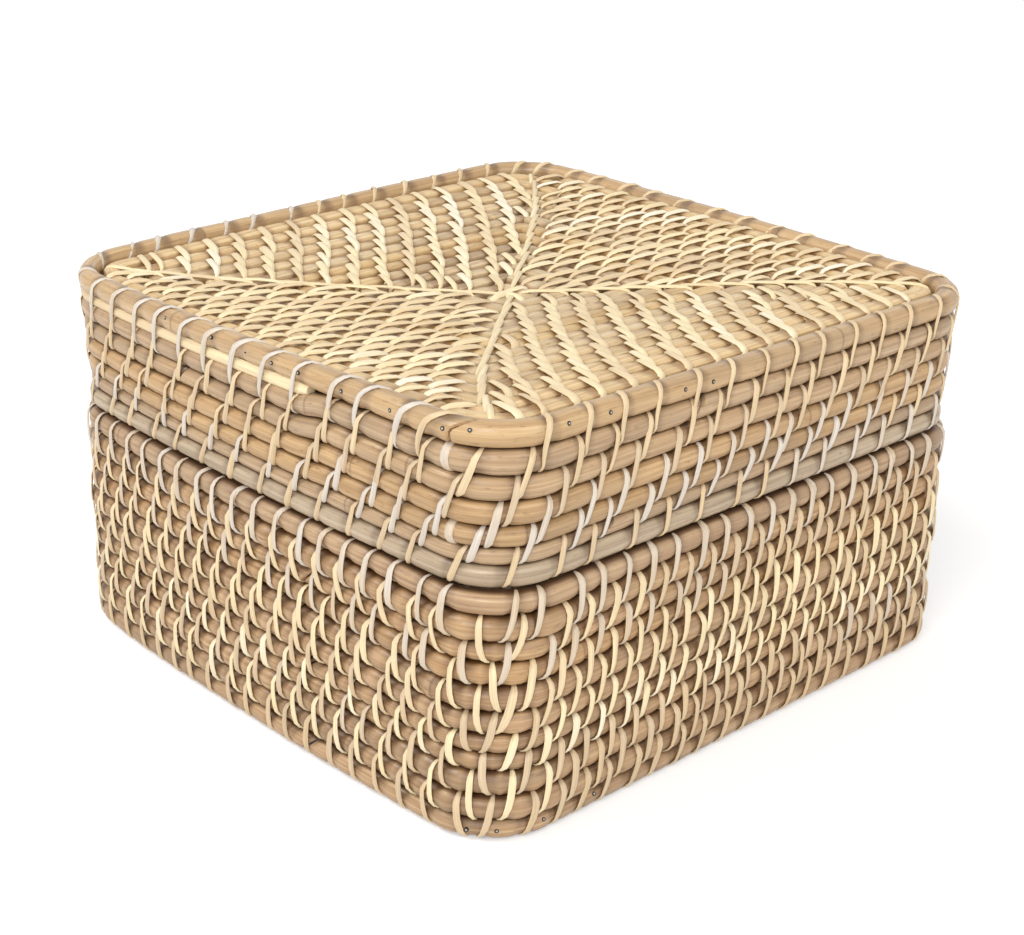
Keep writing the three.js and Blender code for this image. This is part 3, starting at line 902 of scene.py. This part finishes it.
def flat_stitch(made, lid, outward, across, canes, ends, tone, rng, strip_id, width=PANEL_STRIP, lift=0.0):
    """canes has the distance, height and radius of the two canes, ends where the stitch starts and ends across."""
    f, g, which, turns, shown = stitch_path(OVER, UNDER)
    q, z, r = (near + (far - near) * which for near, far in zip(*canes))
    off = LOOSE + np.r_[lift * (1 - f), 0 * g] + FLAT_LOOSER * rng.random() ** 2
    reach = r * PANEL_SEAT + shown * off - SUNK * (1 - shown)
    q = q + reach * sin(turns)
    start, end = ends
    a = np.r_[start + (end - start) * f, end + (start - end) * g]
    points = lifted(outward * q[:, None] + across * a[:, None], z + reach * cos(turns))
    if lid:
        points = skewed(points)
    normals = lifted(outward * sin(turns)[:, None], cos(turns))
    widths = width * rng.uniform(*FLAT_WIDTHS) * np.r_[taper(f, *FLAT_TAPER), 0 * g + FLAT_BACK]
    roll = rng.normal(0, FLAT_ROLL) * shown + FLAT_TWIST * np.r_[1 - 2 * f, 2 * g - 1]
    thick = PANEL_STRIP_THICK * (END_THICK + FLAT_FULL * shown)
    ribbon(made, points, normals, widths, thick, np.full(len(q), tone), strip_id, lid, roll)


PANEL_TONES = (0.58, 0.66, 0.74, 0.81, 0.87)
ROPE_SPREAD, SPINE_SPREAD = 0.06, 0.05
ROW_LIFT, MIDDLE_LIFT, SPINE_LIFT = 0.25, 0.3, 0.6

# The stitches from the middle to the first turn and along the diagonals: their ends and numbers.
MIDDLE_BACK, MIDDLE_SLANT = 1.0, 1.5
SPINE_ENDS, SPINE_WANDER = (2.0, -1.6), 0.3
MIDDLE_ID, SPINE_ID = 40, 50


def coil_stitches(name, coil, body, seed, palette, replaces):
    rng = np.random.default_rng(seed)
    made = Build()
    pole = np.array([-coil.step, -coil.step])
    ropes = rng.choice(palette, (4, 2 * PANEL_ROPES + 1))
    for side in range(4):
        outward = normal(side)
        along = turned(outward)
        first = (side + 1) % 4
        turns = [(coil.outs[i], coil.z[i], COIL_RADIUS) for i in range(first, coil.SIDES, 4)]
        for j, canes in enumerate(zip(turns[:-1], turns[1:])):
            for rope, a, slant in zip(*coil.stitches[first + 4 * j]):
                tone = ropes[side, rope] + rng.uniform(-ROPE_SPREAD, ROPE_SPREAD)
                flat_stitch(made, coil.lid, outward, along, canes, (a, a + slant), tone, rng, seed + j, lift=ROW_LIFT)
        middle = (float(pole @ outward) - MIDDLE_BACK, coil.z[0], COIL_RADIUS)
        at = float(pole @ along)
        flat_stitch(made, coil.lid, outward, along, (middle, turns[0]), (at, at + MIDDLE_SLANT), palette[-2], rng,
                    seed + MIDDLE_ID, lift=MIDDLE_LIFT)
        corner = (outward + along) / ROOT_2
        spine = []
        for i in range(first, coil.SIDES - 1, 4):
            reach = (coil.outs[i] + coil.outs[i + 1]) / ROOT_2 - (ROOT_2 - 1) * coil.bend(i)
            spine.append((reach, (coil.z[i] + coil.z[i + 1]) / 2, COIL_RADIUS))
        for j, canes in enumerate(zip(spine[:-1], spine[1:])):
            ends = [end + rng.normal(0, SPINE_WANDER) for end in SPINE_ENDS]
            tone = palette[-3] + rng.uniform(-SPINE_SPREAD, SPINE_SPREAD)
            flat_stitch(made, coil.lid, corner, turned(corner), canes, ends, tone, rng, seed + SPINE_ID + j,
                        SPINE_STRIP, SPINE_LIFT)
    made.object(name, STRIPS, body, replaces)


coil_stitches("lid_top_stitches", TOP_COIL, "lid", 800, PANEL_TONES, nodes("lid_top_lashing"))
coil_stitches("base_floor_stitches", FLOOR_COIL, "base", 860, BASE_TONES, nodes("base_floor_lashing"))


# Stitches round the collar's lower cane and the base's rim, each next to the nearest stitch of the rim

TIE_PLACES = (-75.0, -50.0, -25.0, 0.0, 25.0, 50.0, 75.0)
TIE_ENDS, TIE_STRIP, TIE_SUNK = (2.5, -0.5), 2.0, 0.25


def collar_joints(name, seed, replaces):
    rng = np.random.default_rng(seed)
    made = Build()
    for side in range(4):
        outward = normal(side)
        for a in TIE_PLACES:
            s = side * QUARTER + a
            canes = [(HALF + o, z, r - TIE_SUNK) for o, z, r in (COLLAR.at(0, s), BASE.at(BASE_TOP, s))]
            away = np.mod(BASE.courses[0].starts - side * QUARTER - a + LOOP / 2, LOOP) - LOOP / 2
            a = a + away[np.argmin(np.abs(away))]
            flat_stitch(made, False, outward, turned(outward), canes, [a + end for end in TIE_ENDS],
                        rng.choice(RIM_TONES), rng, seed + side, TIE_STRIP)
    made.object(name, STRIPS, "base", replaces)


collar_joints("collar_joint_stitches", 720, nodes("collar_joint"))


# Two strips round one cane each, near the front corner of the lid: the cane's row and where along it they are

WRAPS = ((5, 103.0), (2, 103.5))
WRAP_POINTS = 16
WRAP_STRIP, WRAP_LIFT, WRAP_TONE = 3.0, 0.25, 0.1
WRAP_ID = 690


def wraps():
    made = Build()
    turns = np.linspace(0, FULL_TURN, WRAP_POINTS, endpoint=False)
    even = np.ones(WRAP_POINTS)
    for k, (row, s) in enumerate(WRAPS):
        o, z, r = LID.at(row, s)
        point, outward = plan(s)
        reach = r * STRIP_SEAT + WRAP_LIFT
        points = lifted(point + outward * (o + reach * cos(turns))[:, None], z + reach * sin(turns))
        normals = lifted(outward * cos(turns)[:, None], sin(turns))
        ribbon(made, points, normals, WRAP_STRIP * even, STRIP_THICK * even, WRAP_TONE * even, WRAP_ID + k, True,
               0 * even)
    made.object("lid_wraps", STRIPS, "lid")


wraps()


# The filler under the rim: its section, where it ends inside its span, and how it thins to a point

FILLER_RING = np.array(((0.0, -1.0), (0.6, -0.85), (0.95, -0.4), (1.0, 0.1), (0.85, 0.6), (0.4, 0.95), (-1.0, 0.7),
                        (-1.0, -0.7)))
FILLER_ENDS, FILLER_STEPS = (-116.0, 38.0), 60
FILLER_POINT, FILLER_BLUNT, FILLER_ROUND = 14.0, 5.0, 6.0
FILLER_OVERLAP, FILLER_TIP = 0.75, 0.1
FILLER_TONES, FILLER_ID = (0.4, 0.8), 30


def rim_filler():
    s = np.linspace(*FILLER_ENDS, FILLER_STEPS)
    o, _, r = LID.at(LID_TOP, s)
    middle, high = (np.interp(np.mod(s, LOOP), LID.s, table) for table in LID.spare)
    full = smooth((s - s[0]) / FILLER_POINT) * smooth((s[-1] - s + FILLER_BLUNT) / FILLER_ROUND)
    half = (high / 2 + FILLER_OVERLAP) * (FILLER_TIP + (1 - FILLER_TIP) * full)
    reach = (o + r - FILLER_OVERLAP - FILLER_DEEP)[:, None] + FILLER_DEEP * FILLER_RING[:, 0]
    point, outward = plan(s)
    across = half[:, None] * FILLER_RING[:, 1]
    rings = lifted(point[:, None, :] + outward[:, None, :] * reach[..., None], middle[:, None] + across)
    made = Build()
    made.tube(settle(rings, True), grain_at(s[:, None], across, FILLER_ID),
              np.linspace(*FILLER_TONES, FILLER_STEPS)[:, None])
    made.object("rim_filler", STRIPS, "lid")


rim_filler()


# Brads in the rim and the foot: where along and how far up round the cane, in degrees

RIM_BRADS = ((-41.0, 24), (-13.0, 18), (6.5, 16), (20.5, 6), (34.5, 8), (56.5, 4), (80.0, 4), (102.5, 12), (110.0, 26),
             (137.0, 22), (155.0, 12), (189.5, 8), (203.0, 4))
FOOT_BRADS = ((110.0, 0), (118.5, 6), (133.0, 20), (156.0, 24))

# A brad's rings: radius, height and tone; the rings of tone 0 make a disc painted dark as the shade of a hole round
# the head.
BRAD_RINGS = ((0.75, -0.4, 0), (0.75, 0.06, 0), (0.36, 0.1, 0), (0.32, 0.18, 0.6), (0.18, 0.25, 0.8),
              (0.03, 0.27, 0.8))
BRAD_POINTS = 10


def brads(name, wall, row, places, body):
    """Pin heads, each on a disc painted dark as the shade of a hole."""
    made = Build()
    spin = np.linspace(0, FULL_TURN, BRAD_POINTS, endpoint=False)
    size, rise, tone = (np.array(v, float)[:, None] for v in zip(*BRAD_RINGS))
    x, y = size * cos(spin), size * sin(spin)
    for k, (s, up) in enumerate(places):
        o, z, r = wall.at(row, s)
        point, outward = plan(s)
        turn = radians(up)
        face = np.append(outward * cos(turn), sin(turn))
        along = np.append(turned(outward), 0.0)
        other = np.cross(face, along)
        centre = np.append(point + outward * o, z) + face * r * pressed(turn)
        rings = centre + x[..., None] * along + y[..., None] * other + rise[..., None] * face
        made.tube(settle(rings, wall.lid), grain_at(x, y, k), tone)
    made.object(name, BRADS, body)


brads("rim_brads", LID, LID_TOP, RIM_BRADS, "lid")
brads("foot_brads", BASE, 0, FOOT_BRADS, "base")


# Stage: floor, light, camera, in metres

WHITE = (1.0, 1.0, 1.0, 1.0)
FLOOR_REACH = 6.0
FLOOR_COLOUR = (0.86, 0.86, 0.86, 1.0)
FLOOR_SPAN, FLOOR_GLOW = (1.3, 3.0), (0.31, 0.56)
SKY_LIGHT = 0.55

floor_mesh = bpy.data.meshes.new("floor")
corners = [(x * FLOOR_REACH, y * FLOOR_REACH, 0) for x, y in ((-1, -1), (1, -1), (1, 1), (-1, 1))]
floor_mesh.from_pydata(corners, [], [(0, 1, 2, 3)])
floor = added("floor", floor_mesh)


def seen(graph):
    """1 for what the camera sees, directly or in a gloss or through glass."""
    path = graph.node("LightPath").outputs
    either = graph.math("MAXIMUM", path["Is Camera Ray"], path["Is Glossy Ray"])
    return graph.math("MAXIMUM", either, path["Is Transmission Ray"])


ground = Graph(bpy.data.materials.new("floor_white"))
place = ground.node("TexCoord").outputs["Object"]
away = ground.node("VectorMath", {0: place}, operation="LENGTH").outputs["Value"]
glow = ground.span(away, FLOOR_SPAN, FLOOR_GLOW)
ground.shade({"Base Color": FLOOR_COLOUR, "Roughness": 0.9, "Specular IOR Level": 0.1, "Emission Color": WHITE,
              "Emission Strength": ground.math("MULTIPLY", seen(ground), glow)})
floor_mesh.materials.append(ground.data)

sky = Graph(bpy.data.worlds.new("studio"))
bpy.context.scene.world = sky.data
sky.shade({"Color": WHITE, "Strength": SKY_LIGHT}, "Background")
light = sky.tree.nodes["Background"].outputs[0]
backdrop = sky.node("Background", {"Color": WHITE, "Strength": 1.0}).outputs[0]
pick = sky.node("MixShader", {0: seen(sky), 1: light, 2: backdrop}).outputs[0]
sky.shade({0: pick}, "World Output")

# Each light's name, place, size and power, and what they all aim at.
LIGHTS = (("key", (-0.8, -1.3, 1.8), 0.9, 20.0), ("front", (1.0, -1.8, 1.3), 1.0, 22.0),
          ("fill", (1.8, 0.1, 1.2), 1.4, 15.0))
AIM = Vector((0, 0, 0.07))

for name, place, size, power in LIGHTS:
    lamp = bpy.data.lights.new(name, "AREA")
    lamp.shape, lamp.size, lamp.energy = "SQUARE", size, power
    holder = added(name, lamp)
    holder.location = place
    holder.rotation_euler = (AIM - Vector(place)).to_track_quat("-Z", "Y").to_euler()

# The camera, fitted to the photograph: angles in degrees, distance and target in millimetres
IMAGE_WIDTH = 1024
FOCAL_PIXELS = 2002.5658
SENSOR = 36.0
CLIP_START, CLIP_END = 0.01, 50.0
AZIMUTH, ELEVATION, ROLL = 46.2523, 22.2984, 1.1836
DISTANCE = 800.032
TARGET = Vector((-9.0610, 10.2831, 58.9488))

a, e, roll = (radians(v) for v in (AZIMUTH, ELEVATION, ROLL))
turn = Matrix.Rotation(a, 4, "Z") @ Matrix.Rotation(pi / 2 - e, 4, "X") @ Matrix.Rotation(roll, 4, "Z")
spot = (TARGET + turn @ Vector((0, 0, DISTANCE))) * MM
camera_data = bpy.data.cameras.new("camera")
camera_data.sensor_width = SENSOR
camera_data.lens = FOCAL_PIXELS / IMAGE_WIDTH * SENSOR
camera_data.clip_start, camera_data.clip_end = CLIP_START, CLIP_END
camera = added("camera", camera_data)
camera.matrix_world = Matrix.Translation(spot) @ turn
bpy.context.scene.camera = camera
bpy.context.scene.view_settings.view_transform = "Standard"

bpy.context.view_layer.update()
